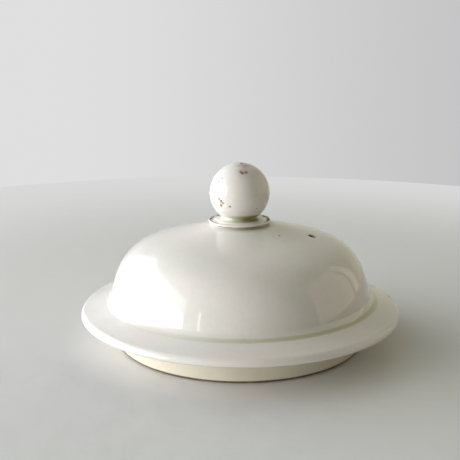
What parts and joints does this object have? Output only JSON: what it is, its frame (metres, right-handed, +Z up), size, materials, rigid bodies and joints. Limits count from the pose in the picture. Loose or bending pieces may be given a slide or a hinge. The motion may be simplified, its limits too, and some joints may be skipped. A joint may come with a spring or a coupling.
{
  "type": "ceramic cream jar",
  "caption": "Low glazed ceramic cream jar with a lift-off domed lid, a sloping overhanging brim, a vent hole and a ball knob on a collar.",
  "frame": {"origin": "on the axis of the jar, on the surface that its foot ring stands on", "axes": "+Z up along the axis that the jar is turned about, +X to the side that the vent hole is on"},
  "size_m": [0.1, 0.1, 0.0566],
  "materials": {
    "lid_glaze": "gloss",
    "pot_glaze": "gloss",
    "bare_clay": "matte"
  },
  "bodies": {
    "pot": {"pot_foot_ring": "bare_clay", "pot_cup": "pot_glaze", "pot_gallery": "pot_glaze"},
    "lid": {"lid_brim": "lid_glaze", "lid_dome": "lid_glaze", "knob_collar": "lid_glaze", "knob_stem": "lid_glaze", "knob_ball": "lid_glaze"}
  },
  "joints": [
    {"name": "lid_lift", "type": "slide", "parent": "pot", "child": "lid", "axis": [0, 0, 1], "range_m": [0, 0.06]}
  ]
}
